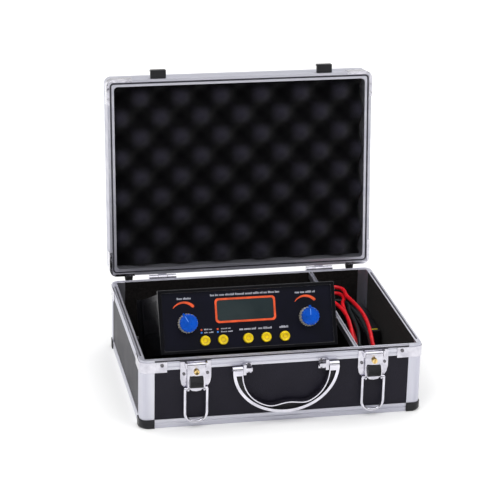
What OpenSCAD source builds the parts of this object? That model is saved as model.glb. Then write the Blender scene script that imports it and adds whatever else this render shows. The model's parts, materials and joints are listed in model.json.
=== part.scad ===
// Insulation resistance tester in its carrying case.
// Millimetres, +Z up, +Y towards the hinges, origin at the centre of the case's underside.

/* [Case] */
// Outer width of the case
case_w = 320; // [300:1:340]
// Outer depth of the case
case_d = 238; // [225:1:250]
// Height of the lower half, up to the rim
base_h = 81.5; // [80:0.5:90]
// Thickness of the lid, closed
lid_t = 30; // [28:0.5:40]
// Width of the aluminium rim
rim_t = 6; // [5.5:0.5:8]
// Height of the rim rail
rim_h = 12; // [12:0.5:18]
// Height of the bottom rail
sill_h = 10; // [8:0.5:14]
// Length of a corner post's legs
post_w = 16; // [14:0.5:20]
// Outer radius of the corner posts
post_r = 8; // [6:0.5:9]
// Thickness of the wall boards
wall_t = 4; // [3:0.5:4.5]
// Place of the board that parts the tester from the leads
divider_x = 84.3; // [80:0.1:90]

/* [Lid] */
// How far the lid stands open
lid_open = 96.2; // [0:0.1:96.2]
// Width of the lid's frame
lid_rim_t = 8; // [7:0.5:9]
// Distance of the hinge pins behind the case
hinge_back = 4; // [4:0.1:5]
// Distance of a hinge, latch from the middle
hinge_x = 97; // [90:1:105]
// Thickness of the egg-crate foam at its peaks
foam_t = 21.5; // [15:0.5:21.5]

/* [Front fittings] */
// Distance of a latch from the middle
latch_x = 100.6; // [95:0.1:105]
// How far right of the middle the latches and the handle sit
fittings_x = 2; // [0:0.5:3]
// Half the width of the handle
handle_a = 60.2; // [58:0.1:64]
// Drop of the handle below its pivots
handle_b = 53.5; // [46:0.5:55]
// Height of the handle's pivots
handle_z = 67; // [64:1:68]

/* [Tester] */
// Width of the instrument
tester_w = 200; // [190:1:204]
// Height of its front frame
tester_h = 71.5; // [70:0.5:74]
// Depth of its body
tester_d = 172; // [160:1:172]
// Angle at which it is propped
tester_tilt = 25.1; // [0:0.1:25.1]
// Sideways place of its middle
tester_x = -35.2; // [-36:0.1:-30]
// Distance of a knob from the middle of the panel
knob_x = 68.5; // [64:0.5:72]
// Height of the knobs on the panel
knob_z = 32; // [28:1:36]
// Height of the buttons on the panel
button_z = 12; // [10:0.5:14]

/* [Leads] */
// Thickness of a test lead
lead_d = 4.6; // [4:0.1:5]

/* [Hidden] */

eps = 0.05;
half_w = case_w / 2;
half_d = case_d / 2;
in_w = half_w - rim_t;
in_d = half_d - rim_t;
lid_in_w = half_w - lid_rim_t;
lid_in_d = half_d - lid_rim_t;
board_in = 0.8;
floor_t = 4.5;
pad_top = 6.2;
lid_gap = 0.8;
lid_z = base_h + lid_gap;
lid_top = base_h + lid_t;
pin_y = half_d + hinge_back;
pin_r = 1.5;
bore_gap = 0.05;
front_y = -half_d;
plate_t = 1.6;
shield_z = 45;
latch_pin_y = front_y - 4.5;
latch_pin_z = base_h - 5.5;
loop_y = front_y - 4.9;
loop_z = 47.5;
loop_bottom = 7.5;
wire_r = 1.65;
loop_half = 12.35;
lock_z = 68.5;
lock_r = 3;
tab_z = 49.7;
handle_y = front_y - 5;
handle_pin_r = 2;
tester_o = [tester_x, -104.9, 82.7];
bezel_z = -1.5;
panel_low = 2.5;
panel_high = 66;
button_xs = [-49.6, -29.6, -1.2, 19.3, 40.3];
button_r = 5.5;
lcd_x = -2.3;
lcd_z = 44.2;
shell_half = 96;
divider_t = 3;

// Placing: the lid about its hinge pins, and the tester on its prop.
module in_lid() {
    translate([0, pin_y, base_h]) rotate([-lid_open, 0, 0]) translate([0, -pin_y, -base_h]) children();
}

module in_tester() {
    translate(tester_o) rotate([-tester_tilt, 0, 0]) children();
}

module both_sides() {
    children();
    mirror([1, 0, 0]) children();
}

module four_corners() {
    for (mx = [0, 1], my = [0, 1]) mirror([mx, 0, 0]) mirror([0, my, 0])
        translate([-half_w, -half_d, 0]) children();
}

// A bar's cross-section: x runs inwards from the outer face, y runs up.
module rail_section(t, h, ribs, groove) {
    difference() {
        square([t, h]);
        for (i = [0:ribs - 1]) translate([-eps, h * (i + 0.7) / (ribs + 0.4)]) square([0.7 + eps, 1.3]);
        if (groove) translate([t / 2 - 1, h - 1]) square([2, 1 + eps]);
    }
}

module rail_ring(z0) {
    for (k = [0:3]) rotate([0, 0, 90 * k]) {
        out = k % 2 == 0 ? half_d : half_w;
        run = (k % 2 == 0 ? case_w : case_d) - 2 * post_w;
        translate([-run / 2, -out, z0]) rotate([90, 0, 90]) linear_extrude(run) children();
    }
}

// A corner's solid outline, grown outwards by g, with legs of the given length.
module corner_fill(leg, g) {
    r = post_r + g;
    intersection() {
        translate([post_r, post_r]) circle(r, $fn = 64);
        translate([-g, -g]) square(leg + g);
    }
    translate([post_r, -g]) square([leg - post_r, leg + g]);
    translate([-g, post_r]) square([leg + g, leg - post_r]);
}

module corner_angle(leg, g, t) {
    difference() {
        corner_fill(leg, g);
        translate([t, t]) square([leg, leg]);
    }
}

// A flat-headed screw along -Y.
module front_screw(x, y, z, r) {
    translate([x, y, z]) rotate([90, 0, 0]) difference() {
        cylinder(h = 0.9, r = r, $fn = 32);
        translate([-r * 0.65, -0.3, 0.5]) cube([r * 1.3, 0.6, 0.5]);
        translate([-0.3, -r * 0.65, 0.5]) cube([0.6, r * 1.3, 0.5]);
    }
}

module base_panels() {
    color("#2b2932") for (k = [0:3]) rotate([0, 0, 90 * k]) {
        out = k % 2 == 0 ? half_d : half_w;
        run = (k % 2 == 0 ? case_w : case_d) - 2 * post_w;
        translate([-run / 2, -out + board_in, sill_h]) cube([run, wall_t, base_h - rim_h - sill_h]);
    }
}

module base_floor() {
    color("#3a3533") translate([-in_w, -in_d, 0]) cube([2 * in_w, 2 * in_d, floor_t]);
}

module base_corner_posts() {
    color("#cfced8") four_corners() translate([0, 0, sill_h])
        linear_extrude(base_h - sill_h) corner_angle(post_w, 0, rim_t);
}

module base_rim_rails() {
    color("#d4d3dc") rail_ring(base_h - rim_h) rail_section(rim_t, rim_h, 2, true);
}

module base_bottom_rails() {
    color("#c4c3cc") rail_ring(0) rail_section(rim_t, sill_h, 1, false);
}

module base_corner_caps() {
    color("#17161a") four_corners() intersection() {
        linear_extrude(sill_h) corner_angle(post_w, 1.2, rim_t);
        translate([14, 14, 12]) sphere(20, $fn = 96);
    }
}

module corner_plate_wrap(leg, z0, z1) {
    translate([0, 0, z0]) linear_extrude(z1 - z0) difference() {
        corner_fill(leg, 0.8);
        corner_fill(leg + 1, 0);
    }
}

module rim_corner_plates() {
    color("#d9d8dd") four_corners() corner_plate_wrap(29.7, base_h - 14.5, base_h - 2);
}

module base_lining() {
    lining_t = rim_t - wall_t - board_in;
    color("#2e2926") for (k = [0:3]) rotate([0, 0, 90 * k]) {
        out = k % 2 == 0 ? half_d : half_w;
        run = (k % 2 == 0 ? case_w : case_d) - 2 * post_w;
        translate([-run / 2, -out + board_in + wall_t, sill_h])
            cube([run, lining_t, base_h - rim_h - sill_h]);
    }
}

module floor_pad() {
    color("#2a2624") translate([-in_w, -in_d, floor_t])
        cube([2 * in_w, 2 * in_d, pad_top - floor_t]);
}

module divider_board() {
    color("#2b2725") translate([divider_x - divider_t / 2, -in_d, pad_top])
        cube([divider_t, 2 * in_d, base_h - 5 - pad_top]);
}

module divider_trim() {
    trim_w = 5;
    color("#cfced8") translate([divider_x, in_d, base_h - 8]) rotate([90, 0, 0])
        linear_extrude(2 * in_d) difference() {
            translate([-trim_w / 2, 0]) square([trim_w, 8]);
            translate([-divider_t / 2, -1]) square([divider_t, 4]);
            translate([-0.8, 6.5]) square([1.6, 2]);
        }
}

// The latch's shield, with the ears and the pin that carry the lever.
module shield_outline() {
    polygon([[-17.3, 34], [-17.3, 14], [-16, 7.5], [-13, 3], [-9, 0.6], [-4, 0], [4, 0], [9, 0.6],
        [13, 3], [16, 7.5], [17.3, 14], [17.3, 34]]);
}

module latch_plate() {
    translate([latch_x, front_y, shield_z]) rotate([90, 0, 0]) linear_extrude(plate_t) shield_outline();
    for (s = [-1, 1]) translate([latch_x + s * 11.4 - 1, latch_pin_y - 2.6, latch_pin_z - 3.5])
        cube([2, 2.6 + front_y - latch_pin_y - plate_t, 6.5]);
    translate([latch_x - 12.4, latch_pin_y, latch_pin_z]) rotate([0, 90, 0])
        cylinder(h = 24.8, r = pin_r, $fn = 32);
}

module latch_plates() {
    color("#c9c8cf") translate([fittings_x, 0, 0]) both_sides() latch_plate();
}

module handle_brackets() {
    color("#b9b8c0") translate([fittings_x, 0, 0]) both_sides() {
        difference() {
            translate([38, front_y - 7.6, handle_z - 6]) cube([10.4, 7.6, 12]);
            translate([37, front_y - 8, handle_z - 7]) cube([8, 6.4, 5]);
            translate([37, front_y - 8, handle_z + 2]) cube([8, 6.4, 5]);
        }
        translate([45, handle_y, handle_z]) rotate([0, 90, 0]) cylinder(h = 14, r = handle_pin_r, $fn = 48);
    }
}

module base_hinge_leaves() {
    color("#bdbcc4") both_sides() {
        difference() {
            union() {
                translate([hinge_x - 16.5, half_d, base_h - 24]) cube([33, 1.5, 18.8]);
                for (s = [-1, 1]) translate([hinge_x + s * 11.1 - 5.4, 0, 0]) {
                    translate([0, half_d, base_h - 5.2 - eps]) cube([10.8, 1.5, 4.6]);
                    translate([0, pin_y, base_h]) rotate([0, 90, 0]) cylinder(h = 10.8, r = 3.4, $fn = 48);
                }
            }
            translate([hinge_x - 5.7, half_d - 1, base_h - 5.2]) cube([11.4, 10, 12]);
        }
        translate([hinge_x - 6, pin_y, base_h]) rotate([0, 90, 0]) cylinder(h = 12, r = pin_r, $fn = 48);
    }
}

module base_feet() {
    color("#141316") both_sides() for (z = [20, 52])
        translate([134, half_d - board_in, z]) rotate([-90, 0, 0]) cylinder(h = 8.6, r1 = 6.5, r2 = 5.2, $fn = 48);
}

module base_screws() {
    color("#4a4950") translate([fittings_x, 0, 0]) both_sides() {
        for (s = [-13.2, 13.2]) front_screw(latch_x + s, front_y - plate_t, 64.5, 1.7);
        for (s = [-4.2, 4.2]) front_screw(41.2, front_y - 1.6, handle_z + s, 1.5);
    }
    color("#4a4950") both_sides() {
        front_screw(136, front_y - 0.8, base_h - 5.7, 2);
        for (s = [-11, 11]) translate([hinge_x + s, half_d + 1.5, base_h - 15]) rotate([180, 0, 0])
            front_screw(0, 0, 0, 2.2);
    }
}

// Test leads, loosely looped: each is a tube swept along its route's points.
RED_ROUTE = [[116, -59.6, 11], [117, -32, 18], [117, -6, 30], [114, 20, 43], [113, 45, 53],
    [112, 68, 58], [107, 90, 60], [99, 100, 59], [93.5, 86, 56], [93, 55, 51], [93, 10, 47],
    [93, -40, 45], [97, -74, 46], [106, -89, 50], [115, -74, 56], [122, -38, 60], [127, 0, 61],
    [127.5, 35, 62], [120, 70, 65], [112, 92, 67], [102, 102, 67], [94, 92, 66], [97, 70, 64],
    [105, 48, 62], [107, 20, 62], [104, -10, 62], [100, -38, 60], [96, -64, 57], [96, -88, 55],
    [104, -103, 50], [119, -105, 41], [133, -100, 30], [142, -86, 18], [144, -70, 11.6],
    [144, -60.3, 10.7]];
BLACK_ROUTE = [[129, -59.6, 10.7], [128, -36, 10.5], [122, -10, 10.5], [111, 16, 10.5],
    [99, 40, 12.5], [95, 62, 18], [96, 84, 26], [104, 98, 35], [116, 98, 42], [126, 84, 46],
    [131, 50, 45], [130, 18, 45], [127, -12, 46], [121, -45, 46], [114, -66, 42], [104, -74, 36],
    [96, -60, 32], [93, -30, 30], [93, 10, 32], [93, 50, 38], [97, 80, 46], [107, 96, 51],
    [117, 92, 51], [122, 72, 48], [121, 40, 48], [119, 12, 48], [115, -10, 48], [109, -38, 46],
    [106, -62, 46], [104, -82, 41], [103, -97, 31], [101, -103, 20], [98, -93, 12],
    [97, -74, 10.5], [97, -52.3, 10.5]];
lead_sides = 8;

function clamp_at(p, i) = p[max(0, min(len(p) - 1, i))];
function unit(v) = v / norm(v);
function heading(p, i) = unit(clamp_at(p, i + 1) - clamp_at(p, i - 1));
function ring(p, i, r) = let (t = heading(p, i), s = unit(cross(t, [0, 0, 1])), u = cross(s, t))
    [for (k = [0:lead_sides - 1]) p[i] + r * (cos(360 * k / lead_sides) * s + sin(360 * k / lead_sides) * u)];

module lead(route) {
    n = len(route);
    points = [for (i = [0:n - 1]) each ring(route, i, lead_d / 2)];
    sides = [for (i = [0:n - 2], k = [0:lead_sides - 1]) let (m = (k + 1) % lead_sides)
        [i * lead_sides + k, (i + 1) * lead_sides + k, (i + 1) * lead_sides + m, i * lead_sides + m]];
    first = [for (k = [0:lead_sides - 1]) k];
    last = [for (k = [lead_sides - 1:-1:0]) (n - 1) * lead_sides + k];
    polyhedron(points, concat(sides, [first], [last]));
}

module red_lead() {
    color("#c3141c") lead(RED_ROUTE);
}

module black_lead() {
    color("#1b1c20") lead(BLACK_ROUTE);
}

// A banana plug's sleeve and pin, and a crocodile clip's two jaws, both along Y.
module lead_plug(x, y) {
    translate([x, y, pad_top + 4.5]) rotate([-90, 0, 0]) {
        cylinder(h = 26, r = 4.5, $fn = 48);
        cylinder(h = 42, r = 2, $fn = 32);
    }
}

module lead_clip(x, y) {
    translate([x, y, pad_top]) {
        translate([-4, -18, 0]) cube([8, 18, 9]);
        for (z = [0, 5.5]) translate([-3.5, -42, z]) cube([7, 25, 3.5]);
    }
}

module red_lead_ends() {
    color("#b3161c") {
        lead_plug(144, -60);
        lead_clip(116, -60);
    }
}

module black_lead_ends() {
    color("#1a1a1d") {
        lead_plug(97, -52);
        lead_clip(129, -60);
    }
}

module mains_adapter() {
    color("#1c1b1f") translate([129, 22, pad_top]) cube([22, 84, 33]);
}

module lid_panel() {
    color("#26242c") in_lid() translate([-lid_in_w, -lid_in_d, lid_z + 3.2 + foam_t])
        cube([2 * lid_in_w, 2 * lid_in_d, 3.5]);
}

// The case's outline, set in from its outer face.
module case_outline(inset) {
    square([2 * (half_w - inset), 2 * (half_d - post_r)], center = true);
    square([2 * (half_w - post_r), 2 * (half_d - inset)], center = true);
    for (x = [post_r - half_w, half_w - post_r], y = [post_r - half_d, half_d - post_r])
        translate([x, y]) circle(post_r - inset, $fn = 64);
}

// The lid's rim: a ribbed rail on each side, a quarter turn at each corner, and a groove between two lips
// in the face that meets the base.
module lid_rails() {
    inner_r = 5;
    color("#d2d1da") in_lid() difference() {
        union() {
            rail_ring(lid_z) rail_section(lid_rim_t, lid_top - lid_z, 5, false);
            four_corners() translate([0, 0, lid_z]) {
                linear_extrude(lid_top - lid_z) corner_angle(post_w, 0, lid_rim_t);
                linear_extrude(3) translate([lid_rim_t - eps, lid_rim_t - eps]) difference() {
                    square(inner_r);
                    translate([inner_r, inner_r]) circle(inner_r, $fn = 48);
                }
            }
        }
        translate([0, 0, lid_z - eps]) linear_extrude(1.9) difference() {
            case_outline(3.1);
            case_outline(5.2);
        }
    }
}

module lid_corner_plates() {
    color("#d9d8dd") in_lid() four_corners() {
        corner_plate_wrap(29.7, lid_z, lid_z + 13);
        translate([0, 0, lid_z - 0.5]) linear_extrude(0.5) corner_angle(29.7, 0.8, 2.7);
    }
}

module lid_foam() {
    color("#232028") in_lid() translate([-lid_in_w + 0.3, -lid_in_d + 0.3, lid_z + 3.2])
        cube([2 * lid_in_w - 0.6, 2 * lid_in_d - 0.6, foam_t]);
}

module lid_strikes() {
    color("#1a191d") in_lid() translate([fittings_x, 0, 0]) both_sides()
        translate([latch_x - 9.25, front_y - 10, lid_z + 3]) difference() {
        cube([18.5, 10, 8]);
        translate([-1, 3, 5]) cube([20.5, 8, 4]);
    }
}

module lid_hinge_leaves() {
    color("#bdbcc4") in_lid() both_sides() difference() {
        union() {
            translate([hinge_x - 16.5, half_d, base_h + 5.6]) cube([33, 1.5, 16]);
            translate([hinge_x - 5.3, half_d, base_h + 1.2]) cube([10.6, 1.5, 5]);
            translate([hinge_x - 5.3, pin_y, base_h]) rotate([0, 90, 0]) cylinder(h = 10.6, r = 3.4, $fn = 48);
        }
        translate([hinge_x - 6, pin_y, base_h]) rotate([0, 90, 0])
            cylinder(h = 12, r = pin_r + bore_gap, $fn = 48);
    }
}

module lid_feet() {
    color("#141316") in_lid() both_sides() translate([137, half_d + 0.8, lid_z + 6.8]) rotate([-90, 0, 0])
        cylinder(h = 7, r1 = 5.5, r2 = 4.4, $fn = 48);
}

// One half of the tester's sleeve, with vent slots in its sides.
module sleeve(z0, z1, closed_low) {
    wall = 2.5;
    difference() {
        translate([-shell_half, 2, z0]) cube([2 * shell_half, tester_d - 6, z1 - z0]);
        translate([-shell_half + wall, 0, closed_low ? z0 + wall : z0 - 1])
            cube([2 * (shell_half - wall), tester_d, z1 - z0 - wall + 1]);
        for (i = [0:13]) translate([-shell_half - 1, 40 + 7.5 * i, z0 + 9]) cube([1.8, 3.2, z1 - z0 - 16]);
        for (i = [0:13]) translate([shell_half - 0.8, 40 + 7.5 * i, z0 + 9]) cube([1.8, 3.2, z1 - z0 - 16]);
    }
}

module tester_lower_shell() {
    color("#1d1d24") in_tester() sleeve(-1, 33, true);
}

module tester_upper_shell() {
    color("#1d1d24") in_tester() sleeve(33, 67, false);
}

module tester_bezel() {
    color("#16161c") in_tester() difference() {
        translate([-tester_w / 2, -3, bezel_z]) cube([tester_w, 5, tester_h]);
        translate([-tester_w / 2 + 4.5, -4, panel_low]) cube([tester_w - 9, 7, panel_high - panel_low]);
    }
}

module tester_panel() {
    color("#14141d") in_tester() difference() {
        translate([-tester_w / 2 + 4.5, 0, panel_low]) cube([tester_w - 9, 2, panel_high - panel_low]);
        for (s = [-1, 1]) translate([s * knob_x, -1, knob_z]) rotate([-90, 0, 0]) cylinder(h = 4, r = 4.6, $fn = 48);
        for (x = button_xs) translate([x, -1, button_z]) rotate([-90, 0, 0])
            cylinder(h = 4, r = button_r + 0.3, $fn = 48);
        translate([lcd_x - 28.5, -1, lcd_z - 10.5]) cube([57, 4, 21]);
    }
}

module rounded(w, h, r) {
    for (sx = [-1, 1], sz = [-1, 1]) translate([sx * (w / 2 - r), sz * (h / 2 - r)]) circle(r, $fn = 32);
    square([w - 2 * r, h], center = true);
    square([w, h - 2 * r], center = true);
}

module lcd_frame() {
    color("#e4573a") in_tester() translate([lcd_x, 0, lcd_z]) rotate([90, 0, 0]) linear_extrude(0.6) difference() {
        rounded(68.5, 27.5, 4);
        rounded(64, 23, 3);
    }
}

module lcd_window() {
    color("#33424a") in_tester() translate([lcd_x - 28.2, 0.3, lcd_z - 10.2]) cube([56.4, 1.5, 20.4]);
}

module lcd_module() {
    color("#5b6a66") in_tester() translate([lcd_x - 30, 2.2, lcd_z - 12]) cube([60, 5, 24]);
}

module circuit_board() {
    color("#2f6b3f") in_tester() {
        translate([-88, 22, 8]) cube([176, 120, 1.6]);
        for (x = [-70, -30, 30, 62]) translate([x, 40, 9.6]) cube([14, 14, 3]);
        for (x = [-80, 80], y = [30, 134]) translate([x, y, 1.5]) cylinder(h = 6.5, r = 3, $fn = 32);
    }
}

module battery_pack() {
    color("#2a2a2e") in_tester() translate([-66, 72, 9.6]) cube([92, 60, 30]);
}

module high_voltage_transformer() {
    color("#8a6a3a") in_tester() {
        translate([42, 84, 9.6]) cube([34, 30, 26]);
        translate([59, 80, 22.6]) rotate([-90, 0, 0]) cylinder(h = 4, r = 9, $fn = 48);
    }
}

module control_pots() {
    color("#c2a25a") in_tester() for (s = [-1, 1]) translate([s * knob_x, 0, knob_z]) rotate([-90, 0, 0])
        difference() {
            union() {
                translate([0, 0, 0.4]) cylinder(h = 2.1, r = 4.5, $fn = 48);
                translate([0, 0, 2.5]) cylinder(h = 9, r = 8.5, $fn = 48);
            }
            translate([0, 0, -1]) cylinder(h = 11, r = 3 + bore_gap, $fn = 48);
        }
}

module button_switches() {
    color("#3a3a40") in_tester() {
        for (x = button_xs) translate([x - 4, 8.8, button_z - 2]) cube([8, 5, 6]);
        translate([-60, 13.8, 9.7]) cube([112, 1.6, 9]);
        translate([-60, 15.4, 9.7]) cube([8, 6.6, 1.2]);
    }
}

module tester_rear_panel() {
    color("#1a1a20") in_tester() difference() {
        translate([-tester_w / 2, tester_d - 4, 0]) cube([tester_w, 4, 68]);
        for (x = [-60, -35, -10]) translate([x, tester_d - 5, 38]) rotate([-90, 0, 0])
            cylinder(h = 6, r = 6, $fn = 48);
    }
}

module lead_sockets() {
    color("#a8151b") in_tester() for (x = [-60, -35, -10]) translate([x, tester_d - 12, 38]) rotate([-90, 0, 0])
        difference() {
            cylinder(h = 13, r = 6, $fn = 48);
            translate([0, 0, 3]) cylinder(h = 12, r = 2.1, $fn = 48);
        }
}

module tester_feet() {
    color("#101013") in_tester() for (x = [-82, 82], y = [24, 159]) translate([x, y, -3])
        cylinder(h = 2, r = 6, $fn = 48);
}

// The carrying handle: a channel bent into a bail, narrower at the bottom, with a finger hump in the middle.
band = 11.2;
bottom_band = 7.5;
outer_lip = 3.3;
inner_lip = 1.2;
function hump(x, humped) = humped && abs(x - 4) < 25 ? 5 * pow(cos(90 * (x - 4) / 25), 2) : 0;
function bail(a, b, power, humped) = [for (i = [0:60]) let (t = 3 * i, x = a * sign(cos(t)) * pow(abs(cos(t)), power))
    [x, -b * pow(abs(sin(t)), power) + hump(x, humped)]];
function backwards(p) = [for (i = [len(p) - 1:-1:0]) p[i]];

module bail_shape(outer_in, inner_out) {
    polygon(concat(bail(handle_a - outer_in, handle_b - outer_in, 1, false),
        backwards(bail(handle_a - band + inner_out, handle_b - bottom_band + inner_out, 0.85, true))));
}

module handle() {
    color("#d8d7de") translate([fittings_x, 0, 0]) difference() {
        union() {
            translate([0, front_y - 1.4, handle_z]) rotate([90, 0, 0]) linear_extrude(8) bail_shape(0, 0);
            for (s = [-1, 1]) translate([s * (handle_a - band / 2) - band / 2, handle_y, handle_z])
                rotate([0, 90, 0]) cylinder(h = band, r = 3.6, $fn = 48);
        }
        translate([0, front_y - 4.4, handle_z]) rotate([90, 0, 0]) linear_extrude(8) intersection() {
            bail_shape(outer_lip, inner_lip);
            translate([-handle_a, -handle_b - 6]) square([2 * handle_a, handle_b]);
        }
        for (s = [-1, 1]) translate([s * (handle_a - band / 2) - band / 2 - 1, handle_y, handle_z])
            rotate([0, 90, 0]) cylinder(h = band + 2, r = handle_pin_r + bore_gap, $fn = 48);
    }
}

module lever_outline() {
    top = latch_pin_z;
    polygon([[-9, top], [-9, 52], [-7.2, 51.4], [-7.2, 48], [-5, 45.8], [0, 45], [5, 45.8], [7.2, 48],
        [7.2, 51.4], [9, 52], [9, top]]);
}

module latch_lever() {
    difference() {
        union() {
            translate([0, latch_pin_y - 0.2, 0]) rotate([90, 0, 0]) linear_extrude(2) lever_outline();
            translate([-10, latch_pin_y, latch_pin_z]) rotate([0, 90, 0]) cylinder(h = 20, r = 2.5, $fn = 48);
            for (s = [-9, 9]) translate([s - 1, latch_pin_y - 2.2, loop_z]) cube([2, 4, latch_pin_z - loop_z]);
            for (s = [-9, 9]) translate([s - 1, loop_y, loop_z]) rotate([0, 90, 0]) cylinder(h = 2, r = 2.9, $fn = 48);
        }
        translate([-11, latch_pin_y, latch_pin_z]) rotate([0, 90, 0])
            cylinder(h = 22, r = pin_r + bore_gap, $fn = 48);
        for (s = [-9, 9]) translate([s - 1.5, loop_y, loop_z]) rotate([0, 90, 0])
            cylinder(h = 3, r = wire_r + bore_gap, $fn = 48);
        translate([0, latch_pin_y + 1, lock_z]) rotate([90, 0, 0]) cylinder(h = 6, r = lock_r + bore_gap, $fn = 48);
    }
}

module latch_tab() {
    translate([-7.5, latch_pin_y - 2.2, tab_z]) rotate([0, 90, 0]) rotate([0, 0, 90])
        linear_extrude(15) polygon([[0, 0], [-2.4, 0], [-4.8, 2], [-4.8, 8], [-1.6, 13], [0, 13]]);
}

module latch_loop() {
    bend = 11.4;
    for (s = [-1, 1]) {
        translate([s * 9 - 1.4, loop_y, loop_z]) rotate([0, 90, 0]) cylinder(h = 2.8, r = wire_r, $fn = 32);
        translate([min(s * 8, s * loop_half), loop_y, loop_z]) rotate([0, 90, 0])
            cylinder(h = loop_half - 8, r = wire_r, $fn = 32);
        translate([s * loop_half, loop_y, loop_z]) sphere(wire_r, $fn = 32);
        translate([s * loop_half, loop_y, loop_bottom + bend]) cylinder(h = loop_z - loop_bottom - bend, r = wire_r, $fn = 32);
        translate([s * (loop_half - bend), loop_y, loop_bottom + bend]) rotate([90, 0, 0]) rotate([0, 0, s < 0 ? 180 : 270])
            rotate_extrude(angle = 90, $fn = 64) translate([bend, 0]) circle(wire_r, $fn = 32);
    }
    translate([-loop_half + bend, loop_y, loop_bottom]) rotate([0, 90, 0])
        cylinder(h = 2 * (loop_half - bend), r = wire_r, $fn = 32);
}

module lock_barrel() {
    translate([0, latch_pin_y + 0.6, lock_z]) rotate([90, 0, 0]) difference() {
        cylinder(h = 5.6, r = lock_r, $fn = 48);
        translate([-0.5, -2, 4]) cube([1, 4, 2]);
    }
}

module latch_lever_left() {
    color("#cccbd2") translate([fittings_x - latch_x, 0, 0]) latch_lever();
}

module latch_lever_right() {
    color("#cccbd2") translate([fittings_x + latch_x, 0, 0]) latch_lever();
}

module latch_tab_left() {
    color("#1a191d") translate([fittings_x - latch_x, 0, 0]) latch_tab();
}

module latch_tab_right() {
    color("#1a191d") translate([fittings_x + latch_x, 0, 0]) latch_tab();
}

module latch_loop_left() {
    color("#dedde2") translate([fittings_x - latch_x, 0, 0]) latch_loop();
}

module latch_loop_right() {
    color("#dedde2") translate([fittings_x + latch_x, 0, 0]) latch_loop();
}

module lock_left() {
    color("#c9a44c") translate([fittings_x - latch_x, 0, 0]) lock_barrel();
}

module lock_right() {
    color("#c9a44c") translate([fittings_x + latch_x, 0, 0]) lock_barrel();
}

// A control knob: fluted skirt, round cap, pointer and shaft.
module knob(x, turn) {
    in_tester() translate([x, 0, knob_z]) rotate([90, 0, 0]) rotate([0, 0, turn]) {
        difference() {
            translate([0, 0, 0.8]) cylinder(h = 5, r = 11, $fn = 64);
            for (i = [0:17]) rotate([0, 0, 20 * i]) translate([11.4, 0, 0]) cylinder(h = 7, r = 0.9, $fn = 16);
        }
        translate([0, 0, 5.8]) cylinder(h = 8.6, r = 9.75, $fn = 64);
        translate([-1.6, 0, 5.8]) cube([3.2, 11.6, 7]);
        translate([0, 0, -9]) cylinder(h = 10, r = 3, $fn = 48);
    }
}

module knob_left() {
    color("#0a50c8") knob(-knob_x, 28);
}

module knob_right() {
    color("#0a50c8") knob(knob_x, 0);
}

module button(n) {
    color("#f0c814") in_tester() translate([button_xs[n], 0, button_z]) rotate([90, 0, 0]) {
        translate([0, 0, -2]) cylinder(h = 6.2, r = button_r, $fn = 48);
        translate([0, 0, -7.2]) cylinder(h = 6, r = 2, $fn = 32);
    }
}

base_panels();
base_floor();
base_corner_posts();
base_rim_rails();
base_bottom_rails();
base_corner_caps();
rim_corner_plates();
base_lining();
floor_pad();
divider_board();
divider_trim();
latch_plates();
handle_brackets();
base_hinge_leaves();
base_feet();
base_screws();
red_lead();
black_lead();
red_lead_ends();
black_lead_ends();
mains_adapter();
lid_panel();
lid_rails();
lid_corner_plates();
lid_foam();
lid_strikes();
lid_hinge_leaves();
lid_feet();
tester_lower_shell();
tester_upper_shell();
tester_bezel();
tester_panel();
lcd_frame();
lcd_window();
lcd_module();
circuit_board();
battery_pack();
high_voltage_transformer();
control_pots();
button_switches();
tester_rear_panel();
lead_sockets();
tester_feet();
handle();
latch_lever_left();
latch_lever_right();
latch_tab_left();
latch_tab_right();
latch_loop_left();
latch_loop_right();
lock_left();
lock_right();
knob_left();
knob_right();
button(0);  // button_1
button(1);  // button_2
button(2);  // button_3
button(3);  // button_4
button(4);  // button_5
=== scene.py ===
# %% [markdown]
# # Insulation resistance tester in its carrying case
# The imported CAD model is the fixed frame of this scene. It already holds every part's size, place and
# joint, so this notebook adds only what a camera sees: soft edges, foam, leads, print and finishes.
# Everything is in metres, in the frame of the CAD model.

# %% Load the frame
import json
import random
from math import cos, degrees, pi, radians, sin

import bmesh
import bpy
from mathutils import Matrix, Vector


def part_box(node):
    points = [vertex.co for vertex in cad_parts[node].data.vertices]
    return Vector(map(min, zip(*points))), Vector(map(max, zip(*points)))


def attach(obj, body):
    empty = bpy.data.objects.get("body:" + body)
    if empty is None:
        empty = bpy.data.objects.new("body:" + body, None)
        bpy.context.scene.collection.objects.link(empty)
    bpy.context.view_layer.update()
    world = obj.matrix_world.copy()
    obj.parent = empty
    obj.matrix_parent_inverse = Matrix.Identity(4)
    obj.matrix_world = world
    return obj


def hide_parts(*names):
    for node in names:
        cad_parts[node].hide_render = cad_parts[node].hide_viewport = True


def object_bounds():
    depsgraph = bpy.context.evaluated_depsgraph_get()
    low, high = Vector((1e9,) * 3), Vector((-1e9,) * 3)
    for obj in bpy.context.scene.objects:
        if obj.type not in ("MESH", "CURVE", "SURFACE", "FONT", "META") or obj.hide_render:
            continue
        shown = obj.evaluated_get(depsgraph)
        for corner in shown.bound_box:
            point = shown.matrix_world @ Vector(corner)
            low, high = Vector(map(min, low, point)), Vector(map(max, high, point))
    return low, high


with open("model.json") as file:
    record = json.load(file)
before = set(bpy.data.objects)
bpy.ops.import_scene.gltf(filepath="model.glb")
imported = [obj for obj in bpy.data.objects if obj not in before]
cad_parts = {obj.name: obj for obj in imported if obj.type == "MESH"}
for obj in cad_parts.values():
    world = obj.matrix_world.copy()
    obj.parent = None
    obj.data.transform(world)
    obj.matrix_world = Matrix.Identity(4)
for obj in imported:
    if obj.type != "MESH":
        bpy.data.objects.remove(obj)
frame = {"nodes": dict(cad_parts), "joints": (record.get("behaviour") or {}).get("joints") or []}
nodes = frame["nodes"]
joints = {j["name"]: j for j in frame["joints"]}
cad_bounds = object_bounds()
mm = 0.001

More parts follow.
